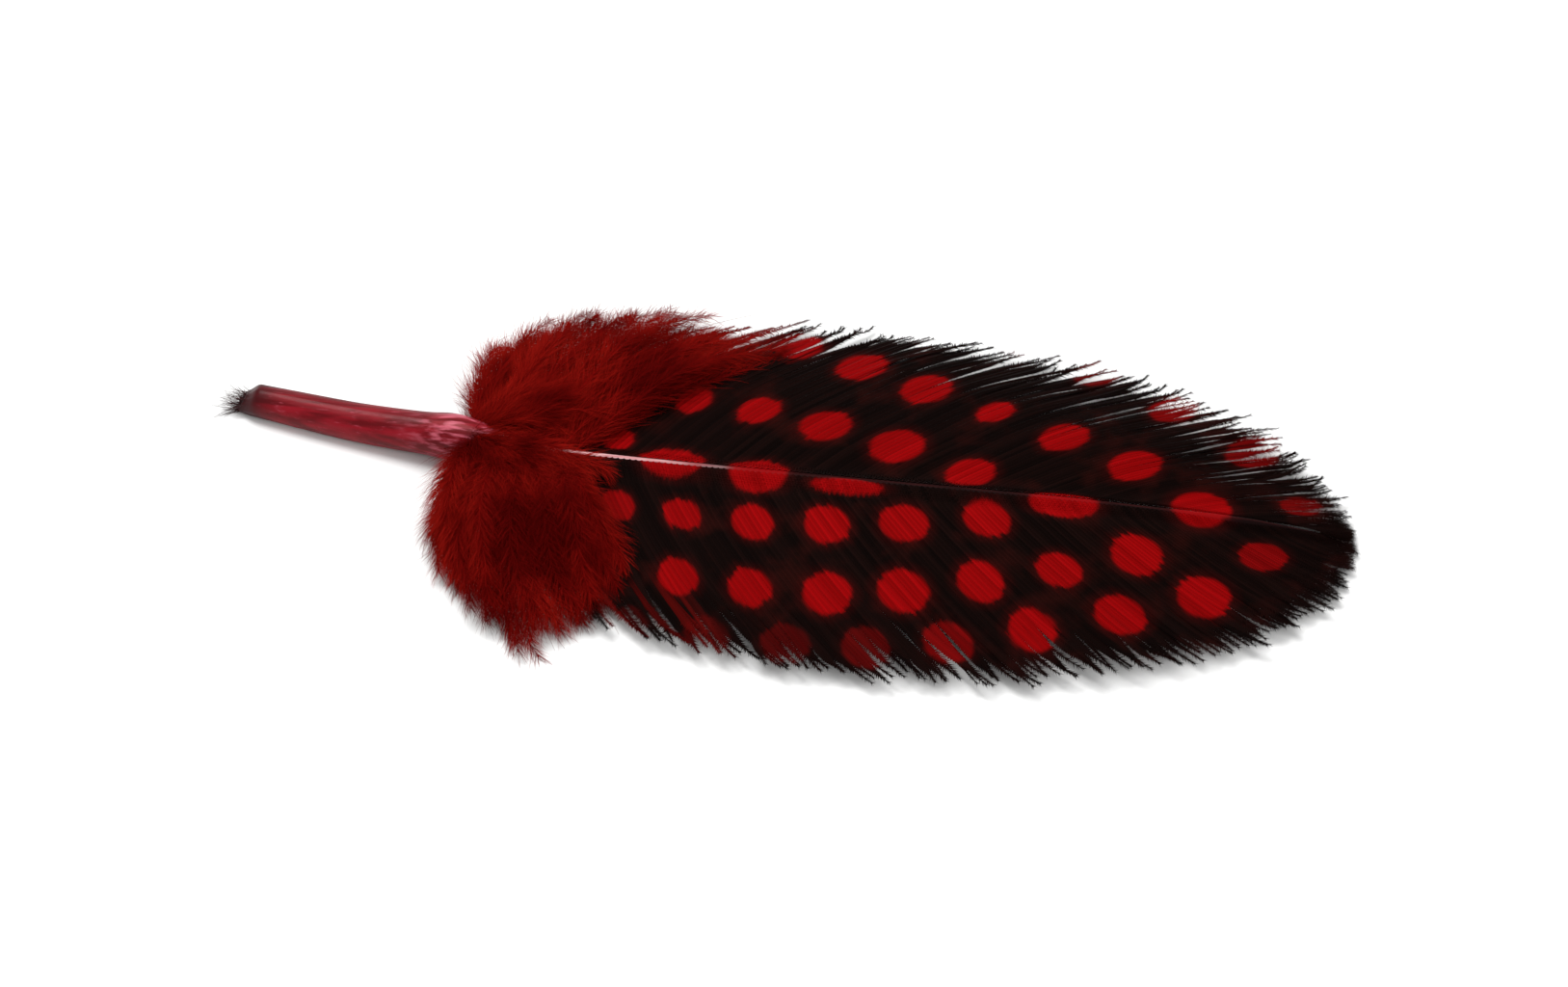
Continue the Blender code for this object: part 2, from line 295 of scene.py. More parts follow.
def web_height(x, y):
    """Height of the web of barbs: it rides over the shaft's shoulders and sinks towards its outline."""
    lateral = y - shaft_y(x)
    rise = shaft_radius(x) + SHOULDER
    from_shaft = np.minimum(np.abs(lateral) / (rise * SHOULDER_WIDTH), 1.0)
    z = vane_top(x, y) + rise * 0.5 * (1.0 + np.cos(math.pi * from_shaft))
    z -= EDGE_SINK * smooth(7.0 * MM, 0.5 * MM, outline_depth(x, y))
    waves = np.sin(x / WAVE_X + lateral / WAVE_Y)
    return z + WAVE * smooth(0.5 * MM, 5.0 * MM, np.abs(lateral)) * waves


def barb_angle(root_x):
    """Angle between a barb's chord and the shaft: wide at the base, closing in to the tip."""
    left = np.clip((LAST_ROOT_X - root_x) / (LAST_ROOT_X - VANE_BASE_X), 0.0, 2.0)
    return BASE_ANGLE * left ** ANGLE_POWER


def quadratic(start, control, end, t):
    """A quadratic curve."""
    return start * (1.0 - t) ** 2 + control * (2.0 * t * (1.0 - t)) + end * t ** 2


def barb_plan(root_x, side, t):
    """Plan x and y of barbs from the shaft (t = 0) to the vane's outline (t = 1)."""
    angle = barb_angle(root_x)
    root_y = shaft_y(root_x)
    dx = np.cos(angle)
    dy = side * np.sin(angle)
    px = (root_x - OUTLINE_X) / OUTLINE_A
    py = (root_y - OUTLINE_Y) / OUTLINE_B
    square = (dx / OUTLINE_A) ** 2 + (dy / OUTLINE_B) ** 2
    half = px * dx / OUTLINE_A + py * dy / OUTLINE_B
    rest = px * px + py * py - 1.0
    length = (np.sqrt(np.maximum(half * half - square * rest, 0.0)) - half) / square
    control_x = root_x + np.cos(angle * BARB_BEND) * length / 2
    control_y = root_y + side * np.sin(angle * BARB_BEND) * length / 2
    x = quadratic(root_x, control_x, root_x + dx * length, t)
    y = quadratic(root_y, control_y, root_y + dy * length, t)
    return x, y


def wander(chance, rows, t, waves):
    """Smooth random curves, one a row, of about unit size."""
    total = np.zeros((rows, t.shape[-1]))
    for wave in range(1, waves + 1):
        phase = chance.uniform(0.0, math.tau, (rows, 1))
        size = chance.normal(0.0, 1.0, (rows, 1)) / wave
        total += size * np.sin(math.tau * wave * 0.6 * t + phase)
    return total


def mesh_piece(name, points, quads, triangles, marks, chart):
    """A mesh object from arrays of points and faces, with one number a point for each mark.

    The chart, if there is one, is a place on the baked texture for each point.
    """
    mesh = bpy.data.meshes.new(name)
    corners = np.concatenate([quads.ravel(), triangles.ravel()]).astype(np.int32)
    starts = np.concatenate([
        np.arange(len(quads)) * 4,
        len(quads) * 4 + np.arange(len(triangles)) * 3,
    ]).astype(np.int32)
    mesh.vertices.add(len(points))
    mesh.vertices.foreach_set("co", points.astype(np.float32).ravel())
    mesh.loops.add(len(corners))
    mesh.loops.foreach_set("vertex_index", corners)
    mesh.polygons.add(len(starts))
    mesh.polygons.foreach_set("loop_start", starts)
    mesh.update(calc_edges=True)
    if chart is not None:
        layer = mesh.uv_layers.new(name=CHART_NAME)
        layer.uv.foreach_set("vector", chart[corners].astype(np.float32).ravel())
    for key, values in marks.items():
        mark = mesh.attributes.new(key, "FLOAT", "POINT")
        mark.data.foreach_set("value", np.ascontiguousarray(values, np.float32).ravel())
    mesh.shade_smooth()
    made = bpy.data.objects.new(name, mesh)
    bpy.context.scene.collection.objects.link(made)
    return made


def grid_quads(strips, rows, columns, close=False):
    """Quads of several strips of rows by columns points, each closed round if close is set."""
    wide = columns if close else columns - 1
    strip = np.arange(strips)[:, None, None] * rows * columns
    row = np.arange(rows - 1)[None, :, None] * columns
    column = np.arange(wide)[None, None, :]
    beside = (column + 1) % columns
    a = strip + row + column
    b = strip + row + beside
    return np.stack([a, b, b + columns, a + columns], axis=-1).reshape(-1, 4)


def unit(vectors):
    """Vectors of length one."""
    return vectors / np.maximum(np.linalg.norm(vectors, axis=-1, keepdims=True), 1e-12)


class Parts:
    """Points, faces and marks gathered from several makers, to be joined in one mesh."""

    def __init__(self):
        self.points = []
        self.quads = []
        self.triangles = []
        self.marks = {}
        self.charts = []
        self.count = 0

    def add(self, points, quads, triangles, marks, chart=None):
        """Add a group of points, its faces, its marks and its places on the baked texture."""
        points = points.reshape(-1, 3)
        if chart is not None:
            self.charts.append(chart.reshape(-1, 2))
        self.points.append(points)
        self.quads.append(quads.reshape(-1, 4) + self.count)
        self.triangles.append(triangles.reshape(-1, 3) + self.count)
        for key, values in marks.items():
            self.marks.setdefault(key, []).append(np.broadcast_to(values, len(points)))
        self.count += len(points)

    def piece(self, name):
        """The joined mesh object."""
        return mesh_piece(
            name,
            np.concatenate(self.points),
            np.concatenate(self.quads),
            np.concatenate(self.triangles),
            {key: np.concatenate(values) for key, values in self.marks.items()},
            np.concatenate(self.charts) if self.charts else None,
        )


NO_TRIANGLES = np.zeros((0, 3), int)
NO_QUADS = np.zeros((0, 4), int)


def spot_list(chance):
    """Spots: x, signed distance from the shaft, two half sizes, strength, and if the shaft turns it."""
    spots = []
    for side, rows in SPOT_ROWS.items():
        for first, pitch, gain, count, (height, slope, bend), smaller in rows:
            x = first
            for step in range(count):
                lateral = side * (height + slope * x + bend * x * x) * MM
                size = float(smooth(-12.0 * MM, 6.0 * MM, x * MM)) * chance.uniform(0.8, 1.0)
                size += chance.normal(0.0, 0.15) + smaller.get(step, 0.0)
                depth = outline_depth(x * MM, lateral + shaft_y(x * MM))
                strength = mix(0.35, 1.0, float(smooth(0.2 * MM, 3.0 * MM, depth)))
                strength *= mix(0.72, 1.0, float(smooth(-12.0 * MM, -3.0 * MM, x * MM)))
                if side < 0 and height > OUTER_ROW:
                    strength *= mix(0.35, 1.0, float(smooth(9.0 * MM, 16.0 * MM, x * MM)))
                spots.append((
                    x * MM,
                    lateral,
                    mix(*SPOT_HALF_LENGTH, size),
                    mix(*SPOT_HALF_WIDTH, size) * chance.uniform(0.9, 1.08),
                    strength,
                    False,
                ))
                x += pitch + gain * step + chance.normal(0.0, 0.1)
    for x, lateral, length, width in LONE_SPOTS:
        strength = mix(0.35, 1.0, float(smooth(0.5 * MM, 5.0 * MM, outline_depth(x * MM, 0.0))))
        spots.append((x * MM, lateral * MM, width * MM / 2, length * MM / 2, strength, True))
    return spots


def spot_mask(x, y, tangent_x, tangent_y, spots):
    """How much of a spot's colour points on a barb have, from 0 to 1. Spots are long along the barbs."""
    lateral = y - shaft_y(x)
    mask = np.zeros_like(x)
    for centre_x, centre_lateral, half_length, half_width, strength, on_shaft in spots:
        ahead = x - centre_x
        out = lateral - centre_lateral
        if on_shaft:
            along, across = out, ahead
        else:
            along = ahead * tangent_x + out * tangent_y
            across = ahead * tangent_y - out * tangent_x
        distance = np.hypot(along / half_length, across / half_width)
        halo = 0.06 * smooth(1.6, 1.0, distance)
        mask = np.maximum(mask, strength * np.maximum(smooth(1.12, 0.9, distance), halo))
    return mask


def down_share(x, y, loose):
    """1 in the red of the down, 0 in the black of the vane. Loose moves the border for each barb."""
    lateral = (y - shaft_y(x)) / MM
    border = np.where(
        lateral > 0.0,
        np.interp(lateral, *DOWN_EDGE[1]),
        np.interp(-lateral, *DOWN_EDGE[-1]),
    ) * MM + loose
    return smooth(border + 1.3 * MM, border - 1.6 * MM, x)


def lock_plan(chance, count):
    """Split barbs into locks. Returns each barb's lock and its place in it from -1 to 1."""
    lock = np.zeros(count, int)
    seat = np.zeros(count)
    start = 0
    number = 0
    while start < count:
        size = min(int(chance.integers(LOCK_BARBS[0], LOCK_BARBS[1] + 1)), count - start)
        lock[start:start + size] = number
        seat[start:start + size] = np.linspace(-1.0, 1.0, size) if size > 1 else 0.0
        start += size
        number += 1
    return lock, seat


class Barbs:
    """The barbs of one side of the vane, in arrays of a row a barb and a column a step."""

    def __init__(self, side, chance, spots):
        self.side = side
        self.chance = chance
        self.spots = spots
        self.count = int((LAST_ROOT_X - VANE_BASE_X) / BARB_SPACING)
        from_tip = 1.0 - (np.arange(self.count) + 0.5) / self.count
        self.root = mix(LAST_ROOT_X, VANE_BASE_X, from_tip ** TIP_CROWDING)
        steps = np.linspace(0.0, 1.0, BARB_STEPS + 1)[None, :]
        self.along = 1.0 - (1.0 - steps) ** BARB_CROWDING
        self.loose = smooth(*LOOSE_ROOTS, self.root)[:, None]
        self.lay_courses()
        self.measure()
        self.set_widths()
        self.set_colours()

    def lay_courses(self):
        """Plan and height of the barbs: locks part towards the edge, and some barbs stray."""
        chance = self.chance
        count = self.count
        root = self.root
        along = self.along
        lock, seat = lock_plan(chance, count)
        locks = lock.max() + 1
        centre = np.array([root[lock == i].mean() for i in range(locks)])
        deep = (chance.random(locks) < DEEP_SPLIT_SHARE) * chance.uniform(*DEEP_SPLIT, locks)
        split = (chance.uniform(*LOCK_SPLIT, locks) + deep)[lock][:, None] * MM
        squeeze = chance.uniform(*LOCK_SQUEEZE, locks)[lock][:, None]
        lock_sway = chance.normal(0.0, LOCK_SWAY, locks)[lock][:, None]
        lock_lift = np.abs(chance.normal(0.0, LOCK_LIFT, locks))[lock][:, None]
        chord_x, chord_y = barb_plan(root[:, None], self.side, np.ones((count, 1)))
        chord = np.hypot(chord_x - root[:, None], chord_y - shaft_y(root)[:, None])
        opened = np.clip(1.0 - (1.0 - along) * chord / split, 0.0, 1.0) ** 1.4

        stray = (chance.random(count) < STRAY_SHARE)[:, None]
        reach = 1.0 - LOCK_POINT * np.abs(seat) + chance.normal(0.0, REACH_SPREAD, count)
        reach = reach[:, None] + stray * chance.uniform(*STRAY_REACH, (count, 1))
        sway = wander(chance, count, along, 4) * along ** 4 * mix(*BARB_SWAY, self.loose) * MM
        sway += stray * chance.normal(0.0, STRAY_SWAY, (count, 1)) * along ** 4
        shifted = root[:, None] + (centre[lock] - root)[:, None] * squeeze * opened
        shifted = np.minimum(shifted + sway + lock_sway * opened, LAST_ROOT_X - ROOT_MARGIN)
        start = ROOT_OFFSET / np.maximum(np.abs(chord_y - shaft_y(chord_x)), SHORTEST_BARB)
        self.x, self.y = barb_plan(shifted, self.side, mix(start, reach, along))

        lift = LOCK_ARCH * (1.0 - seat[:, None] ** 2) * opened
        lift = lift + lock_lift * opened ** 1.5
        lift = lift + stray * chance.uniform(*STRAY_LIFT, (count, 1)) * MM * along ** 5
        self.lift = lift + wander(chance, count, along, 2) * along ** 3 * BARB_LIFT * MM
        self.stray = stray

    def measure(self):
        """Directions along and beside the barbs, the room between them and the run from the root."""
        tangent_x = np.gradient(self.x, axis=1)
        tangent_y = np.gradient(self.y, axis=1)
        length = np.hypot(tangent_x, tangent_y)
        self.tangent_x = tangent_x / length
        self.tangent_y = tangent_y / length
        self.ahead_x = self.side * self.tangent_y
        self.ahead_y = -self.side * self.tangent_x
        next_x = np.gradient(self.x, axis=0)
        next_y = np.gradient(self.y, axis=0)
        spacing = np.abs(next_x * self.ahead_x + next_y * self.ahead_y)
        self.spacing = np.clip(spacing, NARROWEST_SPACING, 2.0 * WIDEST_HALF)
        self.run = np.cumsum(length, axis=1)
        self.left = self.run[:, -1:] - self.run
        self.attached = smooth(*SHAFT_ZONE, np.abs(self.y - shaft_y(self.x)))

    def set_widths(self):
        """Half widths of barb and ramus. Towards its end a barb frays to a hair."""
        hairy = self.chance.uniform(*HAIRY_END, (self.count, 1))
        hairy = hairy * (1.0 + 0.6 * self.stray + 1.6 * self.loose) * MM
        self.fray = smooth(hairy, hairy * 0.25, self.left)
        half = np.minimum(self.spacing * mix(*HALF_SHARE, self.attached), WIDEST_HALF)
        half = half * mix(1.0, HAIR_SHARE, self.fray)
        half *= mix(ROOT_SHARE, 1.0, smooth(0.0, ROOT_TAPER, self.run - self.run[:, :1]))
        self.ramus = mix(*RAMUS_RADIUS, self.along) * np.ones_like(self.x)
        self.half = np.maximum(half, self.ramus * 1.3)

    def set_colours(self):
        """What the material reads for each barb, and how far the barb's spots are out of line."""
        chance = self.chance
        each = (self.count, 1)
        self.nudge = chance.normal(0.0, SPOT_NUDGE, each) * self.attached
        self.shade = chance.uniform(0.0, 1.0, each) * np.ones_like(self.x)
        red = down_share(self.x, self.y, chance.normal(0.0, DOWN_EDGE_SPREAD, each))
        dyed = (chance.random(each) < DYED_SHARE) * smooth(*DYED_ROOTS, self.root)[:, None]
        dyed = dyed * smooth(*DYED_LENGTH, self.left)
        self.red = np.maximum(red, DYED_STRENGTH * dyed)

    def beside(self, offset, raised):
        """Points beside the barbs' own lines, offset towards the vane's tip."""
        x = self.x + self.ahead_x * offset
        y = self.y + self.ahead_y * offset
        return np.stack([x, y, web_height(x, y) + self.lift + raised], axis=-1)

    def blades(self):
        """Five points abreast along each barb: its edges, both sides of its ramus and the crest."""
        near_edge, far_edge = EDGE_SINKS
        columns = np.stack([
            self.beside(-self.half, -near_edge * (1.0 - self.fray) * self.attached),
            self.beside(-self.ramus, 0.0),
            self.beside(0.0 * self.ramus, self.ramus * mix(0.1, 1.1, self.attached)),
            self.beside(self.ramus, 0.0),
            self.beside(self.half, -far_edge * (1.0 - self.fray) * self.attached),
        ], axis=2)
        columns[..., 2] = np.maximum(columns[..., 2], FLOOR_GAP)
        return columns

    def spots_at(self, points):
        """How much of a spot's colour points have, each barb a little out of line."""
        slid_x = points[..., 0] + (self.tangent_x * self.nudge)[..., None]
        slid_y = points[..., 1] + (self.tangent_y * self.nudge)[..., None]
        return spot_mask(slid_x, slid_y, self.tangent_x[..., None], self.tangent_y[..., None], self.spots)

    def marks(self, points, crest, across):
        """The marks for points that lie several abreast along each barb."""
        def repeat(values):
            return np.repeat(values[..., None], points.shape[2], axis=-1).ravel()
        return {
            "spot": self.spots_at(points).ravel(),
            "red": repeat(self.red),
            "shade": repeat(self.shade),
            "run": repeat(self.run / MM),
            "crest": mix(CREST_AT_SHAFT, np.array(crest), self.attached[..., None]).ravel(),
            "across": (np.zeros(self.x.shape + (1,)) + np.array(across)).ravel(),
        }

    def chart(self, places, row_offset):
        """Places on the texture: a band for each barb, across it and along it."""
        rows = BARB_STEPS + 1
        across_band = (np.arange(self.count)[:, None, None] + np.array(places)) / self.count
        along_band = (np.arange(rows)[:, None] + np.array(row_offset)) / (rows + 1)
        shape = (self.count, rows, len(places))
        return np.stack([
            np.broadcast_to(across_band, shape),
            np.broadcast_to(along_band[None], shape),
        ], axis=-1)


def add_barbules(parts, barbs, columns):
    """The fringe of fine teeth along both edges of each barb."""
    rows = BARB_STEPS + 1
    spread = barbs.chance.uniform(0.5, 1.3, barbs.x.shape)
    reach_out = mix(barbs.spacing * 0.2, 0.4 * MM, barbs.fray) * spread
    reach_out *= mix(1.0, 0.35, smooth(0.85, 1.0, barbs.along))
    reach_on = mix(0.14, 0.26, barbs.fray) * MM
    for edge, sign, sink in ((0, -1.0, -0.03 * MM), (4, 1.0, 0.0)):
        base = columns[:, :, edge, :]
        tip = base.copy()
        tip[..., 0] += barbs.ahead_x * sign * reach_out + barbs.tangent_x * reach_on
        tip[..., 1] += barbs.ahead_y * sign * reach_out + barbs.tangent_y * reach_on
        tip[..., 2] += sink + barbs.chance.normal(0.0, BARBULE_LIFT, barbs.x.shape) * barbs.fray
        tip[..., 2] = np.maximum(tip[..., 2], FLOOR_GAP)
        points = np.stack([base, tip], axis=2)
        start = (np.arange(barbs.count)[:, None] * rows + np.arange(rows - 1)[None, :]) * 2
        triangles = np.stack([start, start + 2, start + 1], axis=-1).reshape(-1, 3)
        if barbs.side * sign < 0:
            triangles = triangles[:, ::-1]
        places = [0.5 + 0.3 * sign, 0.5 + 0.47 * sign]
        # Barbules carry crest 0, so they take the darkest painted edge shade
        edge_marks = barbs.marks(points, [0.0, 0.0], [sign, sign])
        parts.add(points, NO_QUADS, triangles, edge_marks, barbs.chart(places, [0.0, 0.5]))


def vane(name, side, chance, spots):
    """One side of the vane: barbs with a raised ramus, and barbules that mesh with the next barb."""
    barbs = Barbs(side, chance, spots)
    columns = barbs.blades()
    quads = grid_quads(barbs.count, BARB_STEPS + 1, 5)
    if side < 0:
        quads = quads[:, ::-1]
    parts = Parts()
    # The crest values lay a painted highlight on each ramus and painted shade at the barb edges
    marks = barbs.marks(columns, [0.0, 0.3, 1.0, 0.3, 0.0], [-1.0, -0.2, 0.0, 0.2, 1.0])
    parts.add(columns, quads, NO_TRIANGLES, marks, barbs.chart([0.22, 0.4, 0.5, 0.6, 0.78], [0.0]))
    add_barbules(parts, barbs, columns)
    return parts.piece(name)


def tuft_threads(side, chance):
    """Threads in tufts: x of the root, angles at root and end, reach, heights of root, bow and end."""
    place = (np.arange(DOWN_BARBS) + chance.uniform(0.0, 1.0, DOWN_BARBS)) / DOWN_BARBS
    layer = (np.arange(DOWN_BARBS) * 0.618034) % 1.0
    seat = place * DOWN_TUFTS + chance.normal(0.0, 0.12, DOWN_BARBS)
    tuft = np.clip(np.floor(seat), 0, DOWN_TUFTS - 1)
    off_centre = seat - tuft - 0.5
    tuft_angle = mix(*DOWN_ANGLES[side], (tuft + 0.5) / DOWN_TUFTS)
    angle = mix(*DOWN_ANGLES[side], place) + chance.normal(0.0, 2.5, DOWN_BARBS)
    end_angle = mix(angle, tuft_angle, 0.34)
    tuft_reach = chance.uniform(0.92, 1.0, DOWN_TUFTS)[tuft.astype(int)]
    tuft_lift = chance.uniform(-0.2, 0.3, DOWN_TUFTS)[tuft.astype(int)]
    grown = np.minimum(place * 2.2, 1.0) ** 0.7
    taper = np.maximum(place - DOWN_TAPER_START, 0.0) / (1.0 - DOWN_TAPER_START)
    reach = mix(*DOWN_REACH[side], grown) * tuft_reach * mix(1.0, DOWN_LAST_SHARE[side], taper)
    reach *= (1.0 - 0.45 * off_centre ** 2) * chance.uniform(0.88, 1.0, DOWN_BARBS)
    heights = np.stack([
        mix(1.1, 2.3, layer) * MM,
        (mix(0.0, 1.6, layer) + tuft_lift) * MM,
        mix(0.35, 1.5, layer) * MM,
    ])
    return mix(*DOWN_ROOTS, place), angle, end_angle, reach, heights


def crown_threads(chance):
    """Threads that close over the shaft, in the same terms."""
    place = np.arange(CROWN_BARBS) / CROWN_BARBS
    angle = chance.uniform(*CROWN_ANGLES, CROWN_BARBS)
    reach = chance.uniform(*CROWN_REACH, CROWN_BARBS) * MM
    heights = np.array([[2.2], [0.8], [2.6]]) * MM * chance.uniform(0.9, 1.08, (3, CROWN_BARBS))
    return JUNCTION_X + mix(0.1, 2.4, place) * MM, angle, angle, reach, heights


def down_lines(side, chance):
    """Lines of the down barbs of one side, in tufts that draw together towards their ends."""
    pairs = zip(tuft_threads(side, chance), crown_threads(chance))
    root_x, angle, end_angle, reach, heights = (np.concatenate(pair, axis=-1) for pair in pairs)
    angle = np.radians(angle)
    turn = np.radians(end_angle) * 0.86
    count = len(root_x)
    t = np.linspace(0.0, 1.0, DOWN_STEPS + 1)[None, :]
    root_y = shaft_y(root_x)
    start = np.stack([root_x, root_y], axis=-1)[:, None, :]
    leaving = np.stack([np.cos(angle), side * np.sin(angle)], axis=-1)[:, None, :]
    chord = np.stack([np.cos(turn), side * np.sin(turn)], axis=-1)[:, None, :]
    control = start + leaving * (reach * 0.55)[:, None, None]
    end = start + chord * reach[:, None, None]
    plan = quadratic(start, control, end, t[..., None])
    plan[..., 0] += wander(chance, count, t, 4) * 0.4 * MM * t
    plan[..., 1] += wander(chance, count, t, 4) * 0.25 * MM * t
    z = mix(heights[0][:, None], heights[2][:, None], t) + heights[1][:, None] * np.sin(math.pi * t)
    z += wander(chance, count, t, 3) * 0.22 * MM * t
    z = np.maximum(z, 0.25 * MM)
    return np.concatenate([plan, z[..., None]], axis=-1)


def thread_tubes(lines, radii, band):
    """Thin tubes along lines, with their places in a band of the texture from one height to another."""
    tangent = unit(np.gradient(lines, axis=1))
    across = unit(np.cross(tangent, np.array([0.0, 0.0, 1.0])))
    up = np.cross(across, tangent)
    turn = math.tau * np.arange(THREAD_SIDES + 1) / THREAD_SIDES
    ring = across[:, :, None, :] * np.cos(turn)[None, None, :, None]
    ring = ring + up[:, :, None, :] * np.sin(turn)[None, None, :, None]
    points = lines[:, :, None, :] + ring * radii[:, :, None, None]
    number, steps = lines.shape[:2]
    u = (np.arange(number)[:, None, None] + np.linspace(0.05, 0.95, THREAD_SIDES + 1)) / number
    v = mix(*band, np.linspace(0.0, 1.0, steps))[None, :, None]
    shape = (number, steps, THREAD_SIDES + 1)
    chart = np.stack([np.broadcast_to(u, shape), np.broadcast_to(v, shape)], axis=-1)
    return points, grid_quads(number, steps, THREAD_SIDES + 1), chart


def branches(lines, chance):
    """Fine barbules that leave each line on both sides: their centre lines and headings."""
    number = lines.shape[0]
    count = DOWN_BRANCHES
    slot = np.arange(count)[None, :] + chance.uniform(0, 1, (number, count))
    place = FIRST_BRANCH + (1.0 - FIRST_BRANCH) * slot / count
    position = place * (lines.shape[1] - 1)
    low = np.minimum(position.astype(int), lines.shape[1] - 2)
    share = (position - low)[..., None]
    which = np.arange(number)[:, None]
    start = lines[which, low] * (1.0 - share) + lines[which, low + 1] * share
    tangent = unit(lines[which, low + 1] - lines[which, low])
    across = unit(np.cross(tangent, np.array([0.0, 0.0, 1.0])))
    up = np.cross(across, tangent)
    sign = np.where(np.arange(count) % 2 == 0, 1.0, -1.0)[None, :]
    roll = chance.normal(0.0, DOWN_BRANCH_ROLL, (number, count))
    lean = chance.normal(math.radians(38.0), math.radians(8.0), (number, count))
    out = across * (np.cos(roll) * sign)[..., None] + up * np.sin(roll)[..., None]
    heading = tangent * np.cos(lean)[..., None] + out * np.sin(lean)[..., None]
    size = DOWN_BRANCH_LENGTH * (0.35 + 0.65 * hump(0.06 + place * 0.9, 0.5, 0.75))
    size = size * chance.uniform(0.6, 1.15, place.shape)
    u = np.linspace(0.0, 1.0, 4)[None, None, :, None]
    bow = chance.normal(0.0, 0.12, (number, count, 1, 3))
    path = start[:, :, None, :] + size[:, :, None, None] * (
        u * heading[:, :, None, :] + u * u * (0.28 * (tangent - heading)[:, :, None, :] + bow)
    )
    path[..., 2] -= (size[:, :, None] * 0.12) * u[..., 0] ** 2
    return path.reshape(-1, 4, 3), heading.reshape(-1, 3)


# A flat thread's seven points in its own cell of the texture
STRIP_CHART = np.array([
    [0.06, 0.05], [0.94, 0.05], [0.06, 0.35], [0.94, 0.35], [0.1, 0.65], [0.9, 0.65], [0.5, 0.95],
])
STRIP_POINTS = len(STRIP_CHART)


def strips(path, heading, chance, width):
    """Flat tapering threads of three steps along the paths."""
    facing = np.array([0.0, 0.0, 1.0]) + chance.normal(0.0, 0.35, heading.shape)
    sideways = unit(np.cross(heading, facing))
    share = np.array([0.5, 0.44, 0.3])
    edge = sideways[:, None, :] * (width * share)[None, :, None]
    left = path[:, :3] - edge
    right = path[:, :3] + edge
    points = np.concatenate([np.stack([left, right], axis=2).reshape(-1, 6, 3), path[:, 3:]], axis=1)
    points[..., 2] = np.maximum(points[..., 2], 0.02 * MM)
    wide = math.ceil(math.sqrt(len(path)))
    cell = np.stack([np.arange(len(path)) % wide, np.arange(len(path)) // wide], axis=-1)
    chart = (cell[:, None, :] + STRIP_CHART[None]) / wide * np.array([1.0, STRIP_BAND[1]])
    base = np.arange(len(path))[:, None] * STRIP_POINTS
    quads = np.concatenate([base + np.array([[0, 1, 3, 2]]), base + np.array([[2, 3, 5, 4]])])
    triangles = base + np.array([[4, 5, 6]])
    return points, quads, triangles, chart


def down(name, side, chance):
    """The down of one side: fine threads with many soft branches."""
    lines = down_lines(side, chance)
    parts = Parts()
    t = np.linspace(0.0, 1.0, lines.shape[1])[None, :]
    radii = mix(*DOWN_THREAD_RADII, t) * MM * np.ones(lines.shape[:2])
    points, quads, chart = thread_tubes(lines, radii, THREAD_BAND)
    shade = chance.uniform(0.0, 1.0, len(lines))
    parts.add(points, quads, NO_TRIANGLES, {
        "shade": np.repeat(shade, lines.shape[1] * (THREAD_SIDES + 1)),
        "tip": 0.0,
    }, chart)
    hairs = down_lines(side, chance)[chance.permutation(len(lines))[:DOWN_HAIRS]]
    root = hairs[:, :1, :]
    hairs = root + (hairs - root) * (1.0 + chance.uniform(0.0, DOWN_HAIR_EXTRA, (DOWN_HAIRS, 1, 1)))
    hairs[..., 2] += DOWN_HAIR_LIFT * np.sin(math.pi * t)
    radii = mix(*DOWN_HAIR_RADII, t) * MM * np.ones(hairs.shape[:2])
    points, quads, chart = thread_tubes(hairs, radii, HAIR_BAND)
    parts.add(points, quads, NO_TRIANGLES, {"shade": 0.0, "tip": 0.0}, chart)
    path, heading = branches(lines, chance)
    points, quads, triangles, chart = strips(path, heading, chance, DOWN_BRANCH_WIDTH)
    branch_shade = np.repeat(shade, DOWN_BRANCHES) * 0.6 + chance.uniform(0.0, 0.4, len(path))
    parts.add(points, quads, triangles, {
        "shade": np.repeat(branch_shade, STRIP_POINTS),
        "tip": np.tile([0.0, 0.0, 0.35, 0.35, 0.7, 0.7, 1.0], len(path)),
    }, chart)
    return parts.piece(name)


def shaft_skin(chance):
    """Rings of points round the shaft, with fine ridges along the quill and a slanted end."""
    along = (np.arange(SHAFT_STATIONS + 1) / SHAFT_STATIONS) ** SHAFT_CROWDING
    x = mix(QUILL_TIP_X, SHAFT_END_X, along)
    turn = math.tau * np.arange(SHAFT_SIDES) / SHAFT_SIDES
    full = shaft_radius(x)
    end = smooth(-0.2 * MM, 1.1 * MM, x - QUILL_TIP_X)
    radius = full * mix(0.62, 1.0, end) * mix(0.25, 1.0, smooth(SHAFT_END_X, SHAFT_THINS_X, x))
    centre_z = shaft_z(x) - (full - radius)
    ridges = 0.018 * np.cos(11 * turn + 0.6) + 0.012 * np.cos(17 * turn + 2.0)
    quill_share = smooth(JUNCTION_X + 1.5 * MM, JUNCTION_X - 1.0 * MM, x)
    collar = 0.07 * np.exp(-((x - JUNCTION_X + 0.6 * MM) / (0.9 * MM)) ** 2)
    swell = 1.0 + ridges[None, :] * quill_share[:, None] + collar[:, None]
    swell = swell + 0.012 * chance.normal(0.0, 1.0, (1, SHAFT_SIDES)) * quill_share[:, None]
    ring_y = shaft_y(x)[:, None] + radius[:, None] * swell * np.cos(turn)[None, :]
    ring_z = centre_z[:, None] + radius[:, None] * swell * np.sin(turn)[None, :]
    ring_z = np.maximum(ring_z, 0.0)
    slant = 0.35 * MM * (1.0 - smooth(0.0, 2.5 * MM, x - QUILL_TIP_X))
    ring_x = x[:, None] + slant[:, None] * np.sin(turn)[None, :]
    return np.stack([np.broadcast_to(ring_x, ring_y.shape), ring_y, ring_z], axis=-1)


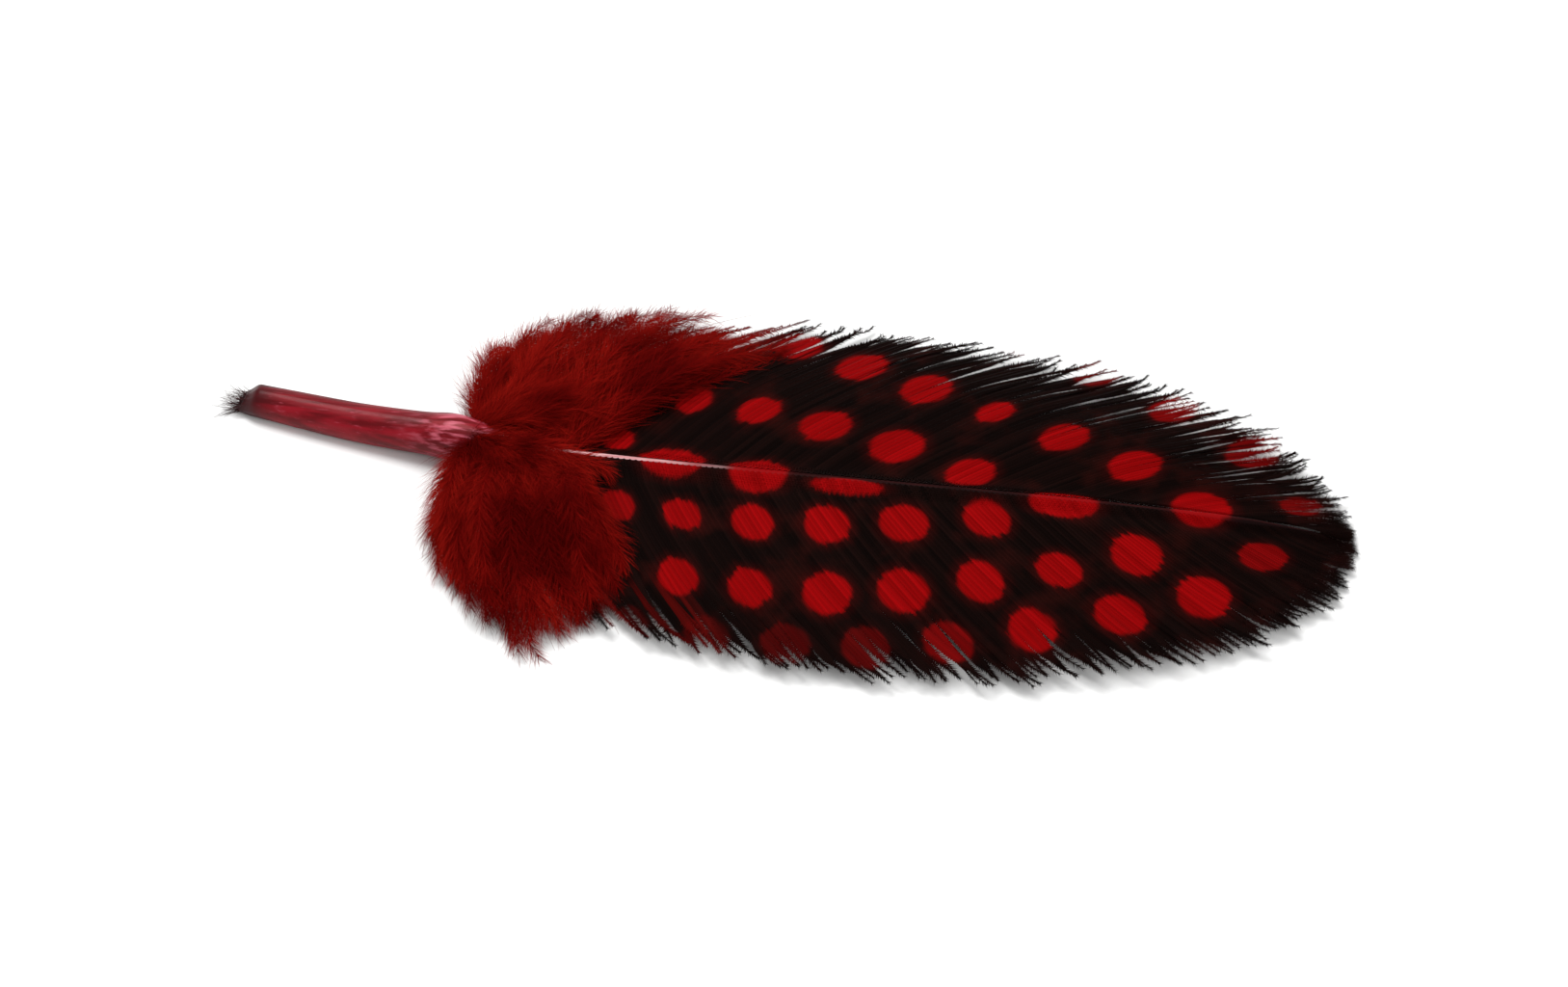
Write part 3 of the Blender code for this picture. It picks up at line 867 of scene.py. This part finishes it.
def quill_mouth(rim):
    """Rings that lead from the bottom of the quill's hollow end out to its rim."""
    centre = rim.mean(axis=0)
    mouth = []
    for deep, share in QUILL_MOUTH:
        ring = centre + (rim - centre) * share
        ring[:, 0] += deep * MM
        mouth.append(ring)
    return np.array(mouth[::-1])


def shaft(chance, spots):
    """Quill and rachis in one tapering tube, hollow and frayed at the quill's end."""
    outside = shaft_skin(chance)
    rings = np.concatenate([quill_mouth(outside[0]), outside])
    rows = len(rings)
    last = rows * SHAFT_SIDES
    ends = [rings[-1].mean(axis=0)[None, :], rings[0].mean(axis=0)[None, :]]
    points = np.concatenate([rings.reshape(-1, 3)] + ends)
    cap = np.arange(SHAFT_SIDES)
    beside = (cap + 1) % SHAFT_SIDES
    last_ring = last - SHAFT_SIDES
    end_cap = np.stack([last_ring + cap, last_ring + beside, np.full(SHAFT_SIDES, last)], axis=-1)
    mouth_cap = np.stack([beside, cap, np.full(SHAFT_SIDES, last + 1)], axis=-1)
    # The rings and cap inside the quill's mouth are marked hollow, to be painted dark as shade
    hollow = np.repeat(np.arange(rows) < len(QUILL_MOUTH), SHAFT_SIDES).astype(float)
    turn = math.tau * np.arange(SHAFT_SIDES) / SHAFT_SIDES
    quads = grid_quads(1, rows, SHAFT_SIDES, close=True)
    parts = Parts()
    # The crest mark is highest on top of the shaft, where the rachis takes its painted highlight
    parts.add(points, quads, np.concatenate([end_cap, mouth_cap]), {
        "hollow": np.append(hollow, [0.0, 1.0]),
        "crest": np.append(np.tile(np.sin(turn), rows), [0.0, 0.0]),
        "spot": spot_mask(points[:, 0], points[:, 1], 1.0, 0.0, spots),
    })
    points, quads, triangles = shreds(outside[0], chance)
    parts.add(points, quads, triangles, {"hollow": 0.7, "crest": 0.0, "spot": 0.0})
    return parts.piece("shaft")


def shreds(mouth, chance):
    """Short dry fibres that fray out of the quill's broken end."""
    which = chance.integers(0, len(mouth), QUILL_SHREDS)
    centre = mouth.mean(axis=0)
    start = centre + (mouth[which] - centre) * chance.uniform(0.5, 1.05, (QUILL_SHREDS, 1))
    start[:, 0] += chance.uniform(0.0, 1.2, QUILL_SHREDS) * MM
    heading = np.stack([
        -np.ones(QUILL_SHREDS),
        chance.normal(0.0, 0.3, QUILL_SHREDS),
        chance.normal(-0.05, 0.25, QUILL_SHREDS),
    ], axis=-1)
    size = chance.uniform(*QUILL_SHRED_LENGTH, QUILL_SHREDS)[:, None, None] * MM
    u = np.array([-0.6, 0.2, 0.6, 1.0])[None, :, None]
    curl = chance.normal(0.0, 0.3, (QUILL_SHREDS, 1, 3))
    path = start[:, None, :] + size * (u * heading[:, None, :] + u * u * curl)
    return strips(path, heading, chance, QUILL_SHRED_WIDTH)[:3]


def wears_rachis(stem):
    """Give the second material to the faces past the place where the down hides the shaft."""
    for face in stem.data.polygons:
        if face.center.x > JUNCTION_X + 2.5 * MM:
            face.material_index = 1


class Shader:
    """A material in the making: short names for the nodes that the materials share."""

    def __init__(self, name):
        self.material = bpy.data.materials.new(name)
        self.material.use_nodes = True
        self.tree = self.material.node_tree
        self.surface = self.tree.nodes["Principled BSDF"]

    def mark(self, name):
        """A number kept on the mesh's points."""
        made = self.tree.nodes.new("ShaderNodeAttribute")
        made.attribute_name = name
        return made.outputs["Fac"]

    def math(self, operation, *values):
        """A sum on one or two numbers."""
        made = self.tree.nodes.new("ShaderNodeMath")
        made.operation = operation
        self.fill(made, values)
        return made.outputs[0]

    def fill(self, made, values):
        """Set or link a node's inputs in order."""
        for socket, value in zip(made.inputs, values):
            if isinstance(value, bpy.types.NodeSocket):
                self.tree.links.new(value, socket)
            else:
                socket.default_value = value

    def blend(self, share, first, second):
        """A colour between two, as far as share says."""
        made = self.tree.nodes.new("ShaderNodeMix")
        made.data_type = "RGBA"
        self.tree.links.new(share, made.inputs[0])
        for key, value in ((6, first), (7, second)):
            if isinstance(value, bpy.types.NodeSocket):
                self.tree.links.new(value, made.inputs[key])
            else:
                made.inputs[key].default_value = (*value, 1.0)
        return made.outputs[2]

    def ramp(self, value, low, high, to_low=0.0, to_high=1.0):
        """A number carried from one range to another, with eased ends."""
        made = self.tree.nodes.new("ShaderNodeMapRange")
        made.interpolation_type = "SMOOTHSTEP"
        self.fill(made, (value, low, high, to_low, to_high))
        return made.outputs[0]

    def along_part(self):
        """The object's own x."""
        coordinates = self.tree.nodes.new("ShaderNodeTexCoord")
        split = self.tree.nodes.new("ShaderNodeSeparateXYZ")
        self.tree.links.new(coordinates.outputs["Object"], split.inputs[0])
        return split.outputs[0]

    def place(self, stretch):
        """Object coordinates in millimetres, stretched."""
        coordinates = self.tree.nodes.new("ShaderNodeTexCoord")
        mapping = self.tree.nodes.new("ShaderNodeMapping")
        mapping.inputs["Scale"].default_value = tuple(s / MM for s in stretch)
        self.tree.links.new(coordinates.outputs["Object"], mapping.inputs["Vector"])
        return mapping.outputs[0]

    def noise(self, vector, scale, detail=3.0):
        """Soft noise from 0 to 1."""
        made = self.tree.nodes.new("ShaderNodeTexNoise")
        made.inputs["Scale"].default_value = scale
        made.inputs["Detail"].default_value = detail
        self.tree.links.new(vector, made.inputs["Vector"])
        return made.outputs[0]

    def bump(self, height, distance, strength):
        """A normal from a height, distance in metres."""
        made = self.tree.nodes.new("ShaderNodeBump")
        made.inputs["Strength"].default_value = strength
        made.inputs["Distance"].default_value = distance
        self.tree.links.new(height, made.inputs["Height"])
        return made.outputs[0]

    def link(self, output, name):
        """Feed the surface's named input."""
        self.tree.links.new(output, self.surface.inputs[name])

    def set(self, **values):
        """Set the surface's own sockets."""
        for name, value in values.items():
            self.surface.inputs[name.replace("_", " ")].default_value = value


def vane_material():
    """Black barbs with dyed red spots, downy red at the base, a painted highlight along each ramus and
    painted shade at the barb edges, and a fine herringbone of barbules.
    """
    black = ((0.0024, 0.0009, 0.0007), (0.006, 0.0019, 0.0015))
    brown = (0.014, 0.0022, 0.0016)
    spot_red = ((0.175, 0.0007, 0.001), (0.245, 0.0012, 0.0018))
    downy_red = ((0.1, 0.0013, 0.0009), (0.19, 0.003, 0.002))
    s = Shader("spotted vane")
    shade = s.mark("shade")
    patch = s.noise(s.place((1.0, 1.0, 1.0)), 0.35)
    ground = s.blend(shade, *black)
    ground = s.blend(s.ramp(patch, 0.5, 0.75), ground, brown)
    spot = s.blend(shade, *spot_red)
    colour = s.blend(s.mark("spot"), ground, spot)
    downy = s.blend(shade, *downy_red)
    colour = s.blend(s.mark("red"), colour, downy)
    # Painted light and shade: each barb is painted brighter along its ramus crest as a highlight, and
    # darker towards its edges as shade between barbs
    painted_crest_light_and_edge_shade = s.ramp(s.mark("crest"), 0.0, 0.5, 0.82, 1.12)
    made = s.tree.nodes.new("ShaderNodeHueSaturation")
    s.tree.links.new(colour, made.inputs["Color"])
    s.tree.links.new(painted_crest_light_and_edge_shade, made.inputs["Value"])
    s.link(made.outputs[0], "Base Color")
    across = s.math("ABSOLUTE", s.mark("across"))
    phase = s.math("SUBTRACT", s.math("MULTIPLY", s.mark("run"), 7.0), s.math("MULTIPLY", across, 1.4))
    barbules = s.math("SINE", s.math("MULTIPLY", phase, math.tau))
    s.link(s.bump(barbules, 0.012 * MM, 0.6), "Normal")
    s.set(Roughness=0.6, Specular_IOR_Level=0.012)
    return s.material


def down_material():
    """Soft red down, brighter at its ends, with darker patches."""
    deep_red = ((0.085, 0.001, 0.0008), (0.155, 0.002, 0.0014))
    bright_red = ((0.18, 0.0035, 0.0023), (0.32, 0.01, 0.005))
    dark_red = (0.045, 0.0005, 0.0004)
    s = Shader("red down")
    shade = s.mark("shade")
    patch = s.noise(s.place((1.0, 1.0, 1.0)), 0.22)
    deep = s.blend(shade, *deep_red)
    bright = s.blend(shade, *bright_red)
    deep = s.blend(s.ramp(patch, 0.56, 0.36, 0.0, 0.55), deep, dark_red)
    colour = s.blend(s.math("MULTIPLY", s.mark("tip"), s.ramp(patch, 0.35, 0.62)), deep, bright)
    s.link(colour, "Base Color")
    s.set(Roughness=0.8, Specular_IOR_Level=0.01)
    return s.material


def quill_material():
    """Pinkish red horn with pale streaks, painted glints where the down begins, painted shade inside its
    hollow end, and a dark dry tip.
    """
    red_horn = ((0.095, 0.0013, 0.0035), (0.21, 0.0045, 0.011))
    pale_streak = (0.3, 0.035, 0.055)
    dry_tip = (0.03, 0.0025, 0.0035)
    painted_glint = (0.5, 0.1, 0.14)
    hollow_shade_and_shred_colour = (0.02, 0.002, 0.0025)
    s = Shader("dyed quill")
    x = s.along_part()
    streak = s.noise(s.place((0.12, 2.0, 2.0)), 1.0, 4.0)
    fine = s.noise(s.place((0.5, 6.0, 6.0)), 1.0, 3.0)
    horn = s.blend(s.ramp(streak, 0.35, 0.65), *red_horn)
    horn = s.blend(s.ramp(fine, 0.6, 0.78), horn, pale_streak)
    tip = s.ramp(x, QUILL_TIP_X + 0.3 * MM, QUILL_TIP_X + 3.4 * MM)
    horn = s.blend(tip, dry_tip, horn)
    # Painted glints: pale flecks painted on the quill near the junction, where light glints on it
    glint_noise = s.noise(s.place((0.7, 3.5, 3.5)), 1.0, 8.0)
    near = s.ramp(x, JUNCTION_X - 4.5 * MM, JUNCTION_X + 0.5 * MM)
    near = s.math("MULTIPLY", near, s.ramp(glint_noise, 0.42, 0.7))
    horn = s.blend(near, horn, painted_glint)
    # Painted shade inside the quill's hollow end; the shreds take most of this colour as their own dark
    # dry colour
    colour = s.blend(s.mark("hollow"), horn, hollow_shade_and_shred_colour)
    s.link(colour, "Base Color")
    s.link(s.bump(streak, 0.05 * MM, 0.4), "Normal")
    s.link(s.ramp(fine, 0.2, 0.8, 0.25, 0.42), "Roughness")
    s.set(Specular_IOR_Level=0.12)
    return s.material


def rachis_material():
    """The shaft within the vane: a painted highlight along its top that soon turns dark, with the dye of
    the spots.
    """
    painted_crest_highlight = ((0.42, 0.16, 0.17), (0.66, 0.42, 0.42))
    dark_crest = ((0.006, 0.0012, 0.0012), (0.02, 0.003, 0.003))
    flank_at_base = (0.05, 0.003, 0.003)
    flank_ahead = (0.005, 0.001, 0.001)
    dye = (0.23, 0.001, 0.002)
    s = Shader("rachis")
    x = s.along_part()
    fine = s.noise(s.place((0.5, 6.0, 6.0)), 1.0, 3.0)
    # Painted highlight: the top of the rachis is painted pale near the base, as light catching it
    pale = s.blend(s.ramp(fine, 0.3, 0.7), *painted_crest_highlight)
    dark = s.blend(s.ramp(fine, 0.3, 0.7), *dark_crest)
    crest = s.blend(s.ramp(x, -8.5 * MM, -1.5 * MM), pale, dark)
    flank = s.blend(s.ramp(x, -9.0 * MM, -4.5 * MM), flank_at_base, flank_ahead)
    # Only the topmost strip of the shaft takes the painted highlight; the flanks keep their own colour
    crest = s.blend(s.ramp(s.mark("crest"), 0.95, 0.99), flank, crest)
    dyed = s.math("MULTIPLY", s.mark("spot"), s.ramp(x, -7.5 * MM, -2.0 * MM, 0.2, 0.85))
    colour = s.blend(dyed, crest, dye)
    s.link(colour, "Base Color")
    s.set(Roughness=0.55, Specular_IOR_Level=0.03)
    return s.material


def pale_floor():
    """A plain pale floor."""
    bpy.ops.mesh.primitive_plane_add(size=3.0)
    floor = bpy.context.object
    floor.name = "floor"
    s = Shader("pale floor")
    s.set(Base_Color=(0.82, 0.82, 0.815, 1.0), Roughness=0.9, Specular_IOR_Level=0.1)
    floor.data.materials.append(s.material)


def soft_light(name, place, size, power):
    """A square soft box that points at the feather."""
    light = bpy.data.lights.new(name, "AREA")
    light.size = size
    light.energy = power
    made = bpy.data.objects.new(name, light)
    made.location = place
    made.rotation_euler = (-Vector(place)).to_track_quat("-Z", "Y").to_euler()
    bpy.context.scene.collection.objects.link(made)


def studio():
    """Soft studio light and a near-white surround."""
    world = bpy.data.worlds.new("studio")
    bpy.context.scene.world = world
    world.use_nodes = True
    surround = world.node_tree.nodes["Background"]
    surround.inputs["Color"].default_value = (1.0, 1.0, 1.0, 1.0)
    surround.inputs["Strength"].default_value = SURROUND_STRENGTH
    soft_light("key", (-0.16, 0.12, 0.55), size=0.35, power=3.4)
    soft_light("fill", (0.3, -0.4, 0.4), size=0.4, power=1.0)
    bpy.context.scene.view_settings.view_transform = "Standard"


def camera():
    """The photograph's view: from in front and above, a little towards the feather's tip."""
    azimuth = math.radians(VIEW_AZIMUTH)
    elevation = math.radians(VIEW_ELEVATION)
    view = bpy.data.cameras.new("camera")
    view.lens = VIEW_LENS
    view.sensor_width = 36.0
    view.clip_start = 0.01
    made = bpy.data.objects.new("camera", view)
    away = Vector((
        math.sin(azimuth) * math.cos(elevation),
        -math.cos(azimuth) * math.cos(elevation),
        math.sin(elevation),
    ))
    made.location = Vector(VIEW_AIM) + away * VIEW_DISTANCE
    made.rotation_euler = away.to_track_quat("Z", "Y").to_euler()
    bpy.context.scene.collection.objects.link(made)
    bpy.context.scene.camera = made


def place_piece(piece, material):
    """Give a piece its material and body, and hide the imported solid of the feather."""
    piece.data.materials.append(material)
    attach(piece, "root")
    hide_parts("feather")


def main():
    """Build the feather, the stage and the view."""
    camera()
    spots = spot_list(np.random.default_rng(5))
    stem = shaft(np.random.default_rng(3), spots)
    place_piece(stem, quill_material())
    stem.data.materials.append(rachis_material())
    wears_rachis(stem)
    spotted = vane_material()
    red_down = down_material()
    for number, (word, side) in enumerate(SIDES.items()):
        web = vane(f"vane_{word}", side, np.random.default_rng(11 + number), spots)
        fluff = down(f"down_{word}", side, np.random.default_rng(21 + number))
        place_piece(web, spotted)
        place_piece(fluff, red_down)
    pale_floor()
    studio()


main()
